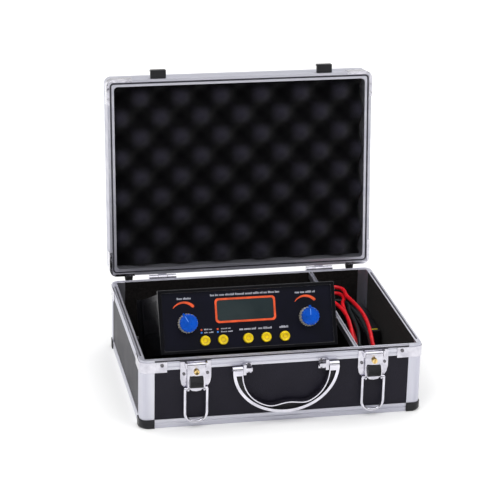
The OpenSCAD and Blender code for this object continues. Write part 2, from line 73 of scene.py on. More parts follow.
# %% [markdown]
# ## The camera
# A long lens from a little over two metres keeps the case's edges almost parallel. The camera stands to the
# left and above, and leans a little to one side.

# %% Camera
view_azimuth, view_elevation, view_roll = radians(-11.839), radians(21.038), radians(1.306)
view_distance, view_lens = 2.2761, 143.15
view_target = Vector((-0.0157, -0.0002, 0.1591))


def aim_camera(azimuth, elevation, roll, distance, target, lens):
    back = Vector((sin(azimuth) * cos(elevation), -cos(azimuth) * cos(elevation), sin(elevation)))
    right = Vector((cos(azimuth), sin(azimuth), 0))
    up = back.cross(right)
    turned_right = right * cos(roll) + up * sin(roll)
    turned_up = up * cos(roll) - right * sin(roll)
    camera = bpy.data.objects.new("camera", bpy.data.cameras.new("camera"))
    bpy.context.scene.collection.objects.link(camera)
    camera.matrix_world = Matrix.Translation(target + back * distance) @ Matrix(
        (turned_right, turned_up, back)).transposed().to_4x4()
    camera.data.lens = lens
    camera.data.clip_end = 50
    bpy.context.scene.camera = camera
    return camera


camera = aim_camera(view_azimuth, view_elevation, view_roll, view_distance, view_target, view_lens)
print("camera at", [round(x, 3) for x in camera.matrix_world.translation])

# %% [markdown]
# ## Places
# Two parts are not level: the lid stands open about its hinge pins, and the tester leans back on its prop.
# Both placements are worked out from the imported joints, so a piece can be drawn flat and then put there.

# %% Places of the lid and the tester
hinge_point = Vector(joints["lid_hinge"]["pos_m"])
lid_angle = radians(joints["lid_hinge"]["range_deg"][1])
lid_place = (Matrix.Translation(hinge_point) @ Matrix.Rotation(-lid_angle, 4, "X")
             @ Matrix.Translation(-hinge_point))
tilt = Matrix.Rotation(-radians(joints["tester_lay_flat"]["range_deg"][1]), 4, "X")
knob_x, knob_pivot_y, knob_z = 68.5 * mm, -5 * mm, 32 * mm
knob_point = Vector(joints["knob_right_turn"]["pos_m"])
tester_place = Matrix.Translation(knob_point - tilt @ Vector((knob_x, knob_pivot_y, knob_z))) @ tilt
panel_face = Matrix.Rotation(pi / 2, 4, "X")
rim_z = hinge_point.z
print("lid open by", round(degrees(lid_angle)), "degrees, tester origin",
      [round(x, 4) for x in tester_place.translation])

# %% [markdown]
# ## Finishes: the helpers
# Each finish is a Principled shader whose colour, roughness and bump come from noise read in Object
# coordinates. A metre is the unit, so a noise scale of 1000 gives marks about a millimetre across.


# %% Material helpers
def finish(name, colour, roughness, metallic=0.0, shine=0.5, **sockets):
    material = bpy.data.materials.new(name)
    material.use_nodes = True
    shader = material.node_tree.nodes["Principled BSDF"]
    shader.inputs["Base Color"].default_value = (*colour, 1)
    shader.inputs["Roughness"].default_value = roughness
    shader.inputs["Metallic"].default_value = metallic
    shader.inputs["Specular IOR Level"].default_value = shine
    for socket, value in sockets.items():
        shader.inputs[socket.replace("_", " ")].default_value = value
    return material


def add_node(material, kind, **inputs):
    made = material.node_tree.nodes.new(kind)
    for socket, value in inputs.items():
        made.inputs[socket.replace("_", " ")].default_value = value
    return made


def object_place(material, stretch=(1, 1, 1)):
    coordinates = add_node(material, "ShaderNodeTexCoord")
    mapping = add_node(material, "ShaderNodeMapping", Scale=stretch)
    material.node_tree.links.new(coordinates.outputs["Object"], mapping.inputs["Vector"])
    return mapping.outputs["Vector"]


print("first helpers: finish, add_node, object_place")

# %% [markdown]
# ## Finishes: the patterns
# A pattern node gives a grey value at every point of a piece. Noise makes clouds and grain, and cells make
# the pebbles of a leather skin. A ramp turns the grey into colours, and a range turns it into numbers.


# %% Pattern helpers
def noise(material, scale, detail=3.0, stretch=(1, 1, 1)):
    made = add_node(material, "ShaderNodeTexNoise", Scale=scale, Detail=detail)
    material.node_tree.links.new(object_place(material, stretch), made.inputs["Vector"])
    return made.outputs["Fac"]


def cells(material, scale):
    made = add_node(material, "ShaderNodeTexVoronoi", Scale=scale)
    material.node_tree.links.new(object_place(material), made.inputs["Vector"])
    return made.outputs["Distance"]


def ramp(material, value, stops):
    made = add_node(material, "ShaderNodeValToRGB")
    material.node_tree.links.new(value, made.inputs["Fac"])
    while len(made.color_ramp.elements) < len(stops):
        made.color_ramp.elements.new(0.5)
    for element, (position, colour) in zip(made.color_ramp.elements, stops):
        element.position = position
        element.color = (*colour, 1)
    return made.outputs["Color"]


def span(material, value, low, high, start=0.3, end=0.7):
    made = add_node(material, "ShaderNodeMapRange", From_Min=start, From_Max=end, To_Min=low, To_Max=high)
    material.node_tree.links.new(value, made.inputs["Value"])
    return made.outputs["Result"]


print("pattern helpers: noise, cells, ramp, span")

# %% [markdown]
# ## Finishes: patterns on the shader
# A pattern can change a finish in three ways. It mottles the colour, it makes the gloss uneven as handling
# does, or it lifts small bumps. Two bumps on one finish are chained, so that a grain lies over a pebble.


# %% Patterns on the shader
def join(material, output, socket):
    shader = material.node_tree.nodes["Principled BSDF"]
    material.node_tree.links.new(output, shader.inputs[socket])


def bump(material, value, strength, distance):
    made = add_node(material, "ShaderNodeBump", Strength=strength, Distance=distance)
    material.node_tree.links.new(value, made.inputs["Height"])
    earlier = material.node_tree.nodes["Principled BSDF"].inputs["Normal"]
    if earlier.is_linked:
        material.node_tree.links.new(earlier.links[0].from_socket, made.inputs["Normal"])
    join(material, made.outputs["Normal"], "Normal")


def blotched(material, scale, low, high, detail=4.0, stretch=(1, 1, 1)):
    value = noise(material, scale, detail, stretch)
    join(material, ramp(material, value, [(0.35, low), (0.65, high)]), "Base Color")


def worn_gloss(material, scale, low, high, stretch=(1, 1, 1)):
    join(material, span(material, noise(material, scale, 4.0, stretch), low, high), "Roughness")


print("shader helpers: join, bump, blotched, worn_gloss")

# %% [markdown]
# ## Finishes: vinyl and aluminium
# The boards are covered in a leather-grain vinyl, which is a pebble pattern under a finer grain. The rails
# are satin anodised aluminium with fine drawn lines along each bar. The lines are noise that is stretched
# along one axis, so each direction of bar has its own finish.

# %% Vinyl and aluminium
vinyl = finish("black_vinyl", (0.016, 0.0145, 0.022), 0.42, shine=0.16)
blotched(vinyl, 18, (0.0108, 0.0097, 0.0172), (0.0132, 0.0118, 0.0208))
bump(vinyl, cells(vinyl, 1100), 0.35, 0.0004)
bump(vinyl, noise(vinyl, 420, 5), 0.3, 0.0005)
worn_gloss(vinyl, 30, 0.4, 0.46)


def drawn_aluminium(name, along):
    """Satin aluminium whose drawn lines run along one axis, given by a small stretch on that axis."""
    made = finish(name, (0.62, 0.62, 0.69), 0.36, 1.0)
    blotched(made, 60, (0.56, 0.56, 0.64), (0.69, 0.69, 0.75), stretch=along)
    worn_gloss(made, 700, 0.36, 0.54, stretch=along)
    bump(made, noise(made, 1500, 2, stretch=along), 0.12, 0.0002)
    return made


aluminium_x = drawn_aluminium("aluminium_drawn_across", (0.02, 1, 1))
aluminium_y = drawn_aluminium("aluminium_drawn_back", (1, 0.02, 1))
aluminium_z = drawn_aluminium("aluminium_drawn_up", (1, 1, 0.02))

print("finishes so far:", [m.name for m in bpy.data.materials])

# %% [markdown]
# ## Finishes: plated metal
# Latches and corners are thin steel under bright nickel, which has small dents and cloudy spots. The handle
# and the wire loops are polished chrome. A plated part is nearly all reflection, so roughness matters most.

# %% Plated metal
nickel = finish("nickel_plate", (0.6, 0.59, 0.65), 0.12, 1.0)
blotched(nickel, 120, (0.5, 0.49, 0.55), (0.68, 0.67, 0.73))
worn_gloss(nickel, 260, 0.08, 0.22)
bump(nickel, noise(nickel, 70, 2), 0.4, 0.0022)

chrome = finish("bright_chrome", (0.7, 0.69, 0.76), 0.1, 1.0)
blotched(chrome, 90, (0.62, 0.61, 0.68), (0.76, 0.75, 0.82))
worn_gloss(chrome, 350, 0.07, 0.18)

brass = finish("brass_key", (0.78, 0.55, 0.2), 0.25, 1.0)
blotched(brass, 400, (0.62, 0.42, 0.14), (0.85, 0.64, 0.28))
worn_gloss(brass, 500, 0.18, 0.38)

screw_steel = finish("screw_steel", (0.16, 0.155, 0.17), 0.32, 1.0)
blotched(screw_steel, 700, (0.09, 0.09, 0.1), (0.24, 0.23, 0.25))
print("metals:", nickel.name, chrome.name, brass.name, screw_steel.name)

# %% [markdown]
# ## Finishes: plastic, rubber and lining
# These are all nearly black, so they differ by how they scatter light. Plastic has a soft highlight, rubber
# is dull, bare board is streaked upwards, and felt has almost no highlight but a faint sheen.

# %% Plastic, rubber and lining
black_plastic = finish("black_plastic", (0.01, 0.01, 0.013), 0.36, shine=0.3)
blotched(black_plastic, 60, (0.007, 0.007, 0.009), (0.013, 0.013, 0.016))
bump(black_plastic, noise(black_plastic, 1600, 3), 0.2, 0.0002)

rubber = finish("black_rubber", (0.013, 0.013, 0.013), 0.75, shine=0.2)
blotched(rubber, 200, (0.01, 0.01, 0.01), (0.02, 0.02, 0.02))
bump(rubber, noise(rubber, 900, 4), 0.3, 0.0003)

board = finish("dark_board", (0.012, 0.010, 0.010), 0.8, shine=0.12)
blotched(board, 240, (0.009, 0.008, 0.008), (0.018, 0.0155, 0.0145), stretch=(1, 1, 6))
bump(board, noise(board, 1300, 4), 0.35, 0.0003)

felt = finish("dark_felt", (0.011, 0.0095, 0.0095), 0.95, shine=0.08, Sheen_Weight=0.05)
blotched(felt, 500, (0.007, 0.006, 0.006), (0.016, 0.0138, 0.0135), 5)
bump(felt, noise(felt, 2600, 4), 0.6, 0.0004)

# Painted shade: a dark colour laid in the groove where the two rims meet.
groove_shade = finish("groove_painted_shade", (0.06, 0.058, 0.072), 0.6, shine=0.3)
blotched(groove_shade, 150, (0.045, 0.043, 0.054), (0.08, 0.077, 0.094))
print("dark finishes:", black_plastic.name, rubber.name, board.name, felt.name, groove_shade.name)

# %% [markdown]
# ## Finishes: foam
# Shade in the hollows and sheen on the peaks are painted into the foam's colour. Each point of the foam
# carries a number called peak, from 0 in a hollow to 1 on top. The colour follows it: dark in the hollows as
# painted shade and light on top as painted sheen, with a little grain mixed in.

# %% Foam finish
foam_painted_shade_and_sheen = finish("egg_crate_foam", (0.02, 0.018, 0.025), 0.95, shine=0.05, Sheen_Weight=0.12)
height = add_node(foam_painted_shade_and_sheen, "ShaderNodeAttribute")
height.attribute_name = "peak"
grain = span(foam_painted_shade_and_sheen, noise(foam_painted_shade_and_sheen, 1100, 4), -0.12, 0.12)
uneven = add_node(foam_painted_shade_and_sheen, "ShaderNodeMath")
foam_painted_shade_and_sheen.node_tree.links.new(height.outputs["Fac"], uneven.inputs[0])
foam_painted_shade_and_sheen.node_tree.links.new(grain, uneven.inputs[1])
# Painted light: the colour is darkest in the hollows as painted shade and lightest on the tops as painted
# sheen.
hollow_painted_shade, slope_painted_half_light, top = (0.001, 0.0009, 0.0016), (0.0085, 0.0078, 0.012), (0.02, 0.0185, 0.028)
join(foam_painted_shade_and_sheen, ramp(foam_painted_shade_and_sheen, uneven.outputs["Value"], [(0.42, hollow_painted_shade), (0.6, slope_painted_half_light), (0.88, top)]),
     "Base Color")
bump(foam_painted_shade_and_sheen, cells(foam_painted_shade_and_sheen, 850), 0.7, 0.0006)

print("case finishes:", len(bpy.data.materials))

# %% [markdown]
# ## Finishes: the tester
# The tester's shells have a fine moulded grain, and its panel is a smooth printed film. The step inside the
# bezel is glossy and has a lighter colour than the bezel, so it draws a thin bright line round the panel as a
# painted highlight. The display is tinted plastic.

# %% Tester finishes
shell_black = finish("tester_shell", (0.003, 0.003, 0.0045), 0.26, shine=0.18)
blotched(shell_black, 50, (0.0022, 0.0022, 0.0034), (0.004, 0.004, 0.006))
bump(shell_black, noise(shell_black, 1900, 3), 0.25, 0.0002)

# The ledge's colour is ten times lighter than the bezel's black: a painted highlight on its glossy step.
ledge_gloss_painted_highlight = finish("ledge_gloss_painted_highlight", (0.03, 0.03, 0.038), 0.14, shine=1.0, Coat_Weight=1.0)
worn_gloss(ledge_gloss_painted_highlight, 200, 0.1, 0.24)

panel_film = finish("panel_film", (0.0022, 0.0024, 0.0085), 0.3, shine=0.25)
blotched(panel_film, 35, (0.0018, 0.002, 0.007), (0.0028, 0.003, 0.0105))
bump(panel_film, noise(panel_film, 1400, 2), 0.06, 0.0001)

display = finish("display_glass", (0.022, 0.033, 0.036), 0.2, shine=0.3)
blotched(display, 22, (0.018, 0.028, 0.031), (0.028, 0.04, 0.043))
worn_gloss(display, 80, 0.1, 0.22)
print("tester finishes:", shell_black.name, ledge_gloss_painted_highlight.name, panel_film.name, display.name)

# %% [markdown]
# ## Finishes: coloured mouldings, inks and leads
# Knobs, buttons, inks and lead insulation are all coloured plastic, so one function makes them: the colour
# drifts a little and the skin is faintly uneven. Soft lead insulation has the broadest highlight.

# %% Coloured mouldings
colour_drift = 0.18


def moulded(name, colour, roughness, **sockets):
    made = finish(name, colour, roughness, **sockets)
    low = tuple(c * (1 - colour_drift) for c in colour)
    high = tuple(min(1, c * (1 + colour_drift)) for c in colour)
    blotched(made, 130, low, high)
    worn_gloss(made, 500, roughness * 0.75, roughness * 1.35)
    bump(made, noise(made, 1500, 2), 0.08, 0.0002)
    return made


orange_ink = moulded("orange_ink", (0.76, 0.095, 0.028), 0.42, shine=0.3)
white_ink = moulded("white_ink", (0.42, 0.43, 0.5), 0.5)
blue_ink = moulded("blue_ink", (0.02, 0.22, 0.75), 0.4)
knob_blue = moulded("knob_blue", (0.0004, 0.07, 0.45), 0.3, shine=0.22)
knob_mark = moulded("knob_mark", (0.12, 0.32, 0.85), 0.4)
knob_skirt = moulded("knob_skirt_grey", (0.4, 0.375, 0.33), 0.4)
button_yellow = moulded("button_yellow", (0.8, 0.58, 0.003), 0.3, shine=0.35)
button_ring = moulded("button_ring", (0.6, 0.36, 0.01), 0.4)
board_green = moulded("board_green", (0.025, 0.14, 0.05), 0.35)
battery_sleeve = moulded("battery_sleeve", (0.03, 0.03, 0.036), 0.35)
winding = moulded("winding_copper", (0.42, 0.2, 0.07), 0.4)
red_pvc = moulded("red_pvc", (0.66, 0.006, 0.014), 0.34, shine=0.4)
black_pvc = moulded("black_pvc", (0.012, 0.017, 0.019), 0.34, shine=0.5)
yellow_label = moulded("yellow_label", (0.75, 0.62, 0.02), 0.5)
print("all finishes:", len(bpy.data.materials))

# %% [markdown]
# ## From a bmesh to a piece
# Every new piece is finished the same way. Doubled points are merged and faces are turned outwards, sharp
# edges are marked by their angle, and a small live bevel can round them. The object stays at the origin
# and rides on the CAD body that it moves with.


# %% Making a piece
def make(bm, name, material, body, stands_for=(), soft_edge=0.0, segments=2, smooth_below=35):
    bmesh.ops.remove_doubles(bm, verts=bm.verts, dist=1e-6)
    bmesh.ops.recalc_face_normals(bm, faces=bm.faces)
    return shown(bm, name, material, body, stands_for, soft_edge, segments, smooth_below)


def shown(bm, name, material, body, stands_for, soft_edge, segments, smooth_below):
    for edge in bm.edges:
        edge.smooth = len(edge.link_faces) == 2 and edge.calc_face_angle(pi) < radians(smooth_below)
    for face in bm.faces:
        face.smooth = True
    mesh = bpy.data.meshes.new(name)
    bm.to_mesh(mesh)
    bm.free()
    mesh.materials.append(material)
    piece = bpy.data.objects.new(name, mesh)
    bpy.context.scene.collection.objects.link(piece)
    if soft_edge:
        bevel = piece.modifiers.new("soft edges", "BEVEL")
        bevel.width, bevel.segments = soft_edge, segments
        bevel.limit_method, bevel.angle_limit = "ANGLE", radians(smooth_below)
        bevel.harden_normals = True
        bevel.use_clamp_overlap = True
    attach(piece, body)
    if stands_for:
        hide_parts(*stands_for)
    return piece


print("piece helpers: make, shown")

# %% [markdown]
# ## Shapes to start from
# Most pieces here are cut, pressed or turned. A cut or pressed part is a flat outline that is extruded, and
# a turned part is a profile that is spun about its axis, as on a lathe.


# %% Starting shapes
def add_prism(bm, outline, depth, place):
    """A flat outline in x and y, made a solid by extruding it along z, then put in its place."""
    face = bm.faces.new([bm.verts.new((x, y, 0)) for x, y in outline])
    grown = bmesh.ops.extrude_face_region(bm, geom=[face])["geom"]
    top = [v for v in grown if isinstance(v, bmesh.types.BMVert)]
    bmesh.ops.translate(bm, verts=top, vec=(0, 0, depth))
    bmesh.ops.transform(bm, matrix=place, verts=top + list(face.verts))


def add_box(bm, low, high, place=Matrix.Identity(4)):
    size = Vector(high) - Vector(low)
    middle = (Vector(high) + Vector(low)) / 2
    shape = place @ Matrix.Translation(middle) @ Matrix.Diagonal((*size, 1))
    bmesh.ops.create_cube(bm, size=1, matrix=shape)


def add_turned(bm, profile, place, steps=48):
    """A turned shape: the profile's points are (radius, height), spun about z."""
    points = [bm.verts.new((r, 0, h)) for r, h in profile]
    edges = [bm.edges.new(pair) for pair in zip(points, points[1:])]
    before = set(bm.verts) - set(points)
    bmesh.ops.spin(bm, geom=points + edges, cent=(0, 0, 0), axis=(0, 0, 1), angle=2 * pi, steps=steps,
                   use_merge=True)
    made = [v for v in bm.verts if v not in before]
    bmesh.ops.remove_doubles(bm, verts=made, dist=1e-6)
    made = [v for v in bm.verts if v not in before]
    bmesh.ops.transform(bm, matrix=place, verts=made)
    return made


print("shape helpers: add_prism, add_box, add_turned")

# %% [markdown]
# ## Softened CAD parts
# A CAD part has the right shape, but its edges are perfectly sharp, and a sharp edge never catches a
# highlight. A copy of it is merged into clean faces and gets a small bevel, and stands for the CAD part.


# %% Softened CAD parts
def softened(name, material, body, width, segments=2):
    bm = bmesh.new()
    bm.from_mesh(nodes[name].data)
    bmesh.ops.remove_doubles(bm, verts=bm.verts, dist=2e-6)
    bmesh.ops.dissolve_limit(bm, angle_limit=radians(0.6), verts=bm.verts, edges=bm.edges)
    return shown(bm, name + "_finished", material, body, (name,), width, segments, smooth_below=32)


print("CAD parts to soften or cover:", len(nodes))

# %% [markdown]
# ## Test leads: their routes
# The two leads lie loosely looped in the right compartment, the red one mostly over the black one. The
# points are in millimetres, and they repeat the routes that the CAD model keeps clear for them.

# %% Lead routes
lead_thickness = 4.6 * mm
red_route = [(116, -59.6, 11), (117, -32, 18), (117, -6, 30), (114, 20, 43), (113, 45, 53),
             (112, 68, 58), (107, 90, 60), (99, 100, 59), (93.5, 86, 56), (93, 55, 51), (93, 10, 47),
             (93, -40, 45), (97, -74, 46), (106, -89, 50), (115, -74, 56), (122, -38, 60), (127, 0, 61),
             (127.5, 35, 62), (120, 70, 65), (112, 92, 67), (102, 102, 67), (94, 92, 66), (97, 70, 64),
             (105, 48, 62), (107, 20, 62), (104, -10, 62), (100, -38, 60), (96, -64, 57), (96, -88, 55),
             (104, -103, 50), (119, -105, 41), (133, -100, 30), (142, -86, 18), (144, -70, 11.6),
             (144, -60.3, 10.7)]
black_route = [(129, -59.6, 10.7), (128, -36, 10.5), (122, -10, 10.5), (111, 16, 10.5),
               (99, 40, 12.5), (95, 62, 18), (96, 84, 26), (104, 98, 35), (116, 98, 42), (126, 84, 46),
               (131, 50, 45), (130, 18, 45), (127, -12, 46), (121, -45, 46), (114, -66, 42),
               (104, -74, 36), (96, -60, 32), (93, -30, 30), (93, 10, 32), (93, 50, 38), (97, 80, 46),
               (107, 96, 51), (117, 92, 51), (122, 72, 48), (121, 40, 48), (119, 12, 48),
               (115, -10, 48), (109, -38, 46), (106, -62, 46), (104, -82, 41), (103, -97, 31),
               (101, -103, 20), (98, -93, 12), (97, -74, 10.5), (97, -52.3, 10.5)]


print("route points: red", len(red_route), "black", len(black_route))

# %% [markdown]
# ## Test leads: a stiff chain
# Insulated wire resists sharp bends. Cloth or rope physics could settle it, but a chain is simpler to steer:
# the route becomes links of one length, so that bends can be measured and pushed along the wire. The chain
# stays inside the compartment and above the adapter that lies in it.

# %% Chain of links
link = 8 * mm
compartment_low = Vector((90 * mm, -110 * mm, 8.6 * mm))
compartment_high = Vector((151 * mm, 110 * mm, 72 * mm))
adapter_low, adapter_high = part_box("mains_adapter")
adapter_margin, adapter_clearance = 3 * mm, 2.6 * mm
steps_between_points = 12


def evenly_spaced(route):
    """Points one link apart along a smooth line (a Catmull-Rom spline) through the route's points."""
    dense = []
    for i in range(len(route) - 1):
        before, start = route[max(i - 1, 0)], route[i]
        end, after = route[i + 1], route[min(i + 2, len(route) - 1)]
        for t in (k / steps_between_points for k in range(steps_between_points)):
            bent = (2 * before - 5 * start + 4 * end - after) * t * t
            swung = (3 * start - before - 3 * end + after) * t ** 3
            dense.append(0.5 * (2 * start + (end - before) * t + bent + swung))
    spaced = [dense[0]]
    for place in dense:
        while (place - spaced[-1]).length > link:
            spaced.append(spaced[-1] + (place - spaced[-1]).normalized() * link)
    return spaced + [route[-1]]


def kept_inside(place):
    inside = [min(max(c, low), high) for c, low, high in zip(place, compartment_low, compartment_high)]
    beside_adapter = adapter_low.y - adapter_margin < inside[1] < adapter_high.y + adapter_margin
    if beside_adapter and inside[0] > adapter_low.x - adapter_margin:
        inside[2] = max(inside[2], adapter_high.z + adapter_clearance)
    return Vector(inside)


print("chain link:", link, "compartment height:", round(compartment_high.z - compartment_low.z, 4))

# %% [markdown]
# ## Test leads: easing the bends
# Three points in a row that bend tighter than the least radius are pulled straighter, half by the middle
# point and half by its neighbours. Each link is then brought back to its length. Many small rounds of this
# spread a tight bend into a wide one. The two ends keep their places and directions in the plugs and clips.

# %% Easing
least_radius = 15 * mm
easing_rounds = 700


def eased(route):
    """The route as a chain of links in which no bend is much tighter than the least radius."""
    chain = evenly_spaced([Vector(place) * mm for place in route])
    fixed = {0, 1, len(chain) - 2, len(chain) - 1}
    limit = link ** 2 / (2 * least_radius)
    for _ in range(easing_rounds):
        for i in range(1, len(chain) - 1):
            pull = (chain[i - 1] + chain[i + 1]) / 2 - chain[i]
            if pull.length > limit:
                excess = pull * (1 - limit / pull.length)
                for k, share in ((i - 1, -0.2), (i, 0.4), (i + 1, -0.2)):
                    if k not in fixed:
                        chain[k] = chain[k] + excess * share
        for i in range(len(chain) - 1):
            gap = chain[i + 1] - chain[i]
            change = gap * (0.5 * (1 - link / gap.length))
            for k, side in ((i, 1), (i + 1, -1)):
                if k not in fixed:
                    chain[k] = chain[k] + change * side
        chain = [place if k in fixed else kept_inside(place) for k, place in enumerate(chain)]
    return chain


def route_length(route):
    return sum((b - a).length for a, b in zip(route, route[1:]))


red_route, black_route = eased(red_route), eased(black_route)
print("lead lengths:", round(route_length(red_route), 3), round(route_length(black_route), 3))

# %% [markdown]
# ## Test leads: laying them
# Each lead is one flexible cord, so it is one open curve with a round bevel, which stays smooth and light.

# %% Laid leads
def lay_lead(name, route, material):
    curve = bpy.data.curves.new(name, "CURVE")
    curve.dimensions = "3D"
    curve.bevel_depth = lead_thickness / 2
    curve.bevel_resolution = 4
    curve.resolution_u = 4
    curve.use_fill_caps = True
    spline = curve.splines.new("BEZIER")
    spline.bezier_points.add(len(route) - 1)
    for point, place in zip(spline.bezier_points, route):
        point.co = place
        point.handle_left_type = point.handle_right_type = "AUTO"
    curve.materials.append(material)
    piece = bpy.data.objects.new(name, curve)
    bpy.context.scene.collection.objects.link(piece)
    return piece


red_lead = lay_lead("red_lead_cord", red_route, red_pvc)
black_lead = lay_lead("black_lead_cord", black_route, black_pvc)
print("laid:", red_lead.name, black_lead.name)

# %% [markdown]
# ## Plugs and clips
# A banana plug is a turned sleeve with grip rings and a sprung pin. A crocodile clip is two arched jaws with
# teeth in a soft boot; here only the jaws are drawn, in the lead's colour. The sleeve is spun from a profile,
# and each jaw is an extruded side outline.

# %% Lead ends
pad_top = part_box("floor_pad")[1].z
plug_height, ring_pitch = 4.5 * mm, 3.4
jaw_width, jaw_height, tooth_pitch = 7.2 * mm, 8.8, 1.6


def plug(bm, x, y):
    place = Matrix.Translation((x, y, pad_top + plug_height)) @ Matrix.Rotation(-pi / 2, 4, "X")
    grip = [(0, 0), (2.9, 0), (3.1, 4)]
    for ring in range(5):
        up = ring * ring_pitch
        grip += [(4.4, 5.5 + up), (4.4, 7 + up), (3.7, 7.6 + up)]
    pin = [(2, 26), (1.7, 29), (2, 34), (1.7, 39), (1.1, 41.5), (0, 41.9)]
    grip += [(4.3, 24), (4.3, 25.6), (3.6, 26)] + pin
    add_turned(bm, [(r * mm, h * mm) for r, h in grip], place, 32)


def clip(bm, x, y):
    side = Matrix.Translation((x - jaw_width / 2, y, pad_top)) @ Matrix(
        ((0, 0, 1, 0), (1, 0, 0, 0), (0, 1, 0, 0), (0, 0, 0, 1)))
    upper = [(0, 4.6), (0, 7.6), (-4, 8.9), (-17, 8.9), (-26, 8.4), (-36, 7), (-41.6, 5.2)]
    teeth = [(-41.6 + i * tooth_pitch, 4.1 if i % 2 else 4.9) for i in range(12)]
    jaw = upper + teeth + [(-20, 4.8)]
    add_prism(bm, [(a * mm, b * mm) for a, b in jaw], jaw_width, side)
    add_prism(bm, [(a * mm, (jaw_height - b) * mm) for a, b in reversed(jaw)], jaw_width, side)


def lead_ends(name, material, plug_at, clip_at):
    bm = bmesh.new()
    plug(bm, *plug_at)
    clip(bm, *clip_at)
    return make(bm, name + "_finished", material, "case", (name,), 0.25 * mm)


red_ends = lead_ends("red_lead_ends", red_pvc, (144 * mm, -60 * mm), (116 * mm, -60 * mm))
black_ends = lead_ends("black_lead_ends", black_pvc, (97 * mm, -52 * mm), (129 * mm, -60 * mm))
for lead, ends, route, slot in ((red_lead, red_ends, red_route, "red_pvc"),
                                (black_lead, black_ends, black_route, "black_pvc")):
    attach(lead, "case")
    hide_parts(lead.name.replace("_cord", ""))
    print(lead.name, "starts at", [round(c, 4) for c in route[0]])

# %% [markdown]
# ## Egg-crate foam
# The lid is lined with foam that is cut into rows of rounded peaks, each row shifted by half a step. The
# product of two cosines gives exactly that pattern, so a fine grid is lifted by it and closed at the back.

# %% Foam
foam_step = 48.7 * mm
peak_x, peak_y = -119.4 * mm, -95.1 * mm
lid_frame = 8.2 * mm
lid_rim_z = rim_z + 0.8 * mm
foam_front, foam_back = lid_rim_z + 3.2 * mm, lid_rim_z + 24.6 * mm
foam_valley, least_foam = 18.5 * mm, 1 * mm
edge_round, edge_drop = 3 * mm, 2.5 * mm
case_low, case_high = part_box("base_bottom_rails")
foam_half = (case_high.x - lid_frame, case_high.y - lid_frame)


def foam_depth(x, y):
    wave = cos(2 * pi * (x - peak_x) / foam_step) * cos(2 * pi * (y - peak_y) / foam_step)
    edge = min(foam_half[0] - abs(x), foam_half[1] - abs(y))
    rounding = max(0.0, 1 - edge / edge_round) ** 2
    return foam_valley * (0.5 - 0.5 * wave) ** 0.85 + rounding * edge_drop


def foam_lining():
    bm = bmesh.new()
    bmesh.ops.create_grid(bm, x_segments=128, y_segments=92, size=1)
    front = list(bm.verts)
    for v in front:
        x, y = v.co.x * foam_half[0], v.co.y * foam_half[1]
        v.co = (x, y, min(foam_front + foam_depth(x, y), foam_back - least_foam))
    grown = bmesh.ops.extrude_face_region(bm, geom=list(bm.faces), use_keep_orig=True)["geom"]
    for v in grown:
        if isinstance(v, bmesh.types.BMVert):
            v.co.z = foam_back
    bmesh.ops.recalc_face_normals(bm, faces=bm.faces)
    peak = bm.verts.layers.float.new("peak")
    for v in bm.verts:
        v[peak] = 1 - (v.co.z - foam_front) / foam_valley
    bmesh.ops.transform(bm, matrix=lid_place, verts=bm.verts)
    return make(bm, "egg_crate_foam", foam_painted_shade_and_sheen, "lid", ("lid_foam",), smooth_below=60)


foam = foam_lining()
print("foam faces:", len(foam.data.polygons))

# %% [markdown]
# ## Case boards and fittings
# Boards, corner posts, plates, hinges and feet keep their CAD shapes. Each gets its finish and a bevel as
# wide as the real edge is round: 0.2 mm on thin plate, 1 or 2 mm on moulded parts.

# %% Softened case parts
for name, material, slot, width in (
        ("base_panels", vinyl, "black_vinyl", 0.3), ("base_floor", board, "dark_board", 0.3),
        ("base_corner_posts", aluminium_z, "satin_aluminium", 0.4),
        ("base_corner_caps", black_plastic, "black_plastic", 1.2),
        ("rim_corner_plates", nickel, "nickel_plate", 0.25), ("base_lining", felt, "dark_felt", 0.3),
        ("floor_pad", felt, "dark_felt", 0.3), ("divider_board", board, "dark_board", 0.3),
        ("divider_trim", aluminium_y, "satin_aluminium", 0.5), ("latch_plates", nickel, "nickel_plate", 0.4),
        ("handle_brackets", nickel, "nickel_plate", 0.5), ("base_hinge_leaves", nickel, "nickel_plate", 0.3),
        ("base_feet", rubber, "black_rubber", 0.8), ("base_screws", screw_steel, "screw_steel", 0.2),
        ("mains_adapter", black_plastic, "black_plastic", 2.0)):
    softened(name, material, "case", width * mm)
for name, material, slot, width in (
        ("lid_panel", vinyl, "black_vinyl", 0.4), ("lid_corner_plates", nickel, "nickel_plate", 0.2),
        ("lid_strikes", black_plastic, "black_plastic", 0.6),
        ("lid_hinge_leaves", nickel, "nickel_plate", 0.3), ("lid_feet", rubber, "black_rubber", 0.8)):
    softened(name, material, "lid", width * mm)

# %% [markdown]
# ## Handle
# The bail handle is a chromed casting with a dark channel along its face. The channel's floor is the flat
# face a little behind the front, so it is found by its depth and coloured with the black plastic finish.

# %% Handle
channel_depth, channel_below_pivot, channel_tolerance = 4.4 * mm, 6 * mm, 0.2 * mm
handle = softened("handle", chrome, "handle", 0.45 * mm, 3)
handle.data.materials.append(black_plastic)
channel_y = case_low.y - channel_depth
channel_top = joints["handle_swing"]["pos_m"][2] - channel_below_pivot
for face in handle.data.polygons:
    if abs(face.center.y - channel_y) < channel_tolerance and face.center.z < channel_top:
        face.material_index = 1
print("channel faces:", sum(face.material_index == 1 for face in handle.data.polygons))

# %% [markdown]
# ## Rails
# Each rail is one drawn bar, so the fine lines have to run along it. The rail nodes hold bars in both
# directions, and the faces of a bar are told apart by where they lie. The inner faces of the lower rim are
# covered by the case's lining, and the groove that the two rims meet in is coloured dark as painted shade.

# %% Rails
from_lid = lid_place.inverted()
lid_groove_z, base_groove_z = lid_rim_z + 1.9 * mm, rim_z - 1 * mm
groove_tolerance = 0.15 * mm
side_bar_x = case_high.x - 16 * mm + 0.1 * mm
lining_top = rim_z - 1.5 * mm


